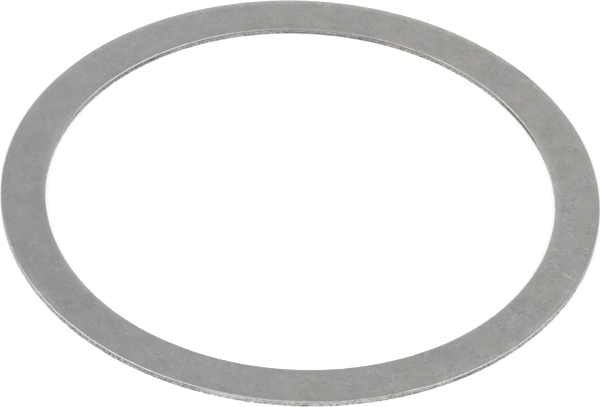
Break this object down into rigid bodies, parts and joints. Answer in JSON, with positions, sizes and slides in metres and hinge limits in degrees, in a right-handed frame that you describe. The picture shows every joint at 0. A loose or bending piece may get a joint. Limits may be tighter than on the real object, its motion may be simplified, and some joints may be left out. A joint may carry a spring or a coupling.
{
  "type": "shim ring",
  "caption": "Flat steel shim ring with stamped edges, fitted round a shaft or in a housing beside a bearing to take up end play.",
  "frame": {"origin": "on the ring's axis, in the plane of the lower face", "axes": "+Z along the ring's axis, from the lower face, where the burr was taken off, to the face with the rounded edges; X and Y are any two directions across the ring"},
  "size_m": [0.1, 0.1, 0.0012],
  "materials": {
    "steel": "matt grey cold-rolled surface with a fine mottled grain"
  },
  "bodies": {
    "root": {"shim_ring": "steel"}
  },
  "joints": []
}
